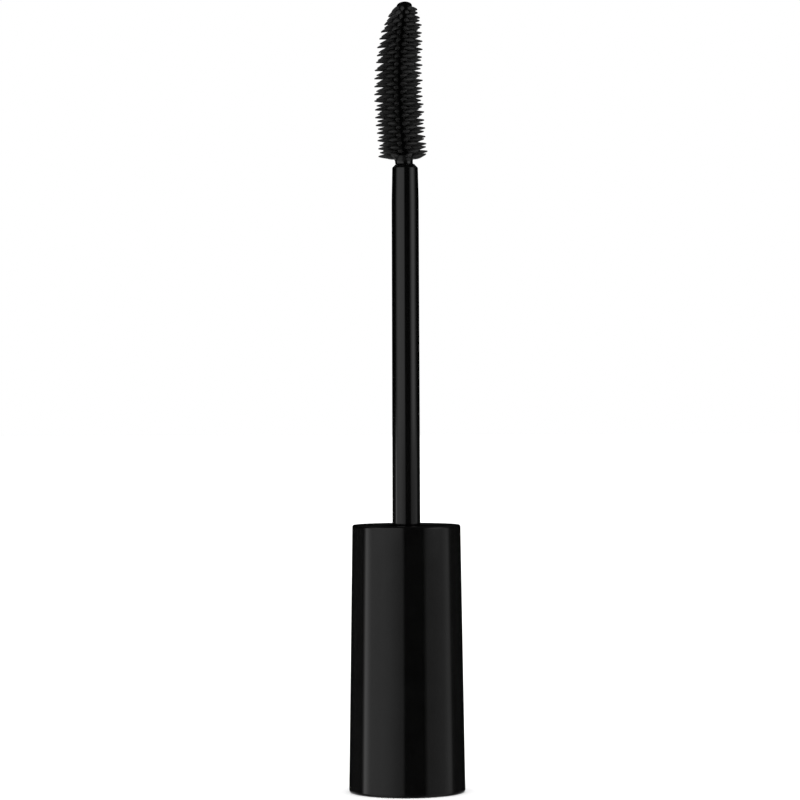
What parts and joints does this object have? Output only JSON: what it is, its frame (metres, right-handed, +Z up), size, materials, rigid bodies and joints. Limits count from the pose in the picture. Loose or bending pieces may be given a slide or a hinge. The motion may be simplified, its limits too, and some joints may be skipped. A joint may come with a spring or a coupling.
{
  "type": "mascara cap and wand",
  "caption": "Screw-on cosmetic cap standing on its closed end, with a thin stem and a bowed moulded lash brush pointing up.",
  "frame": {"origin": "centre of the cap's closed end, on the surface that it stands on", "axes": "+Z up along the cap and stem to the brush tip, +X to the side that the brush's bow faces away from"},
  "size_m": [0.0182, 0.0182, 0.123],
  "materials": {
    "outer_cap": "high-gloss black moulded shell",
    "inner_cap": "satin black moulded liner",
    "stem": "glossy black extruded rod",
    "brush": "semi-matt black moulded elastomer"
  },
  "bodies": {
    "root": {"outer_cap": "outer_cap", "inner_cap": "inner_cap", "stem": "stem", "brush": "brush"}
  },
  "joints": []
}
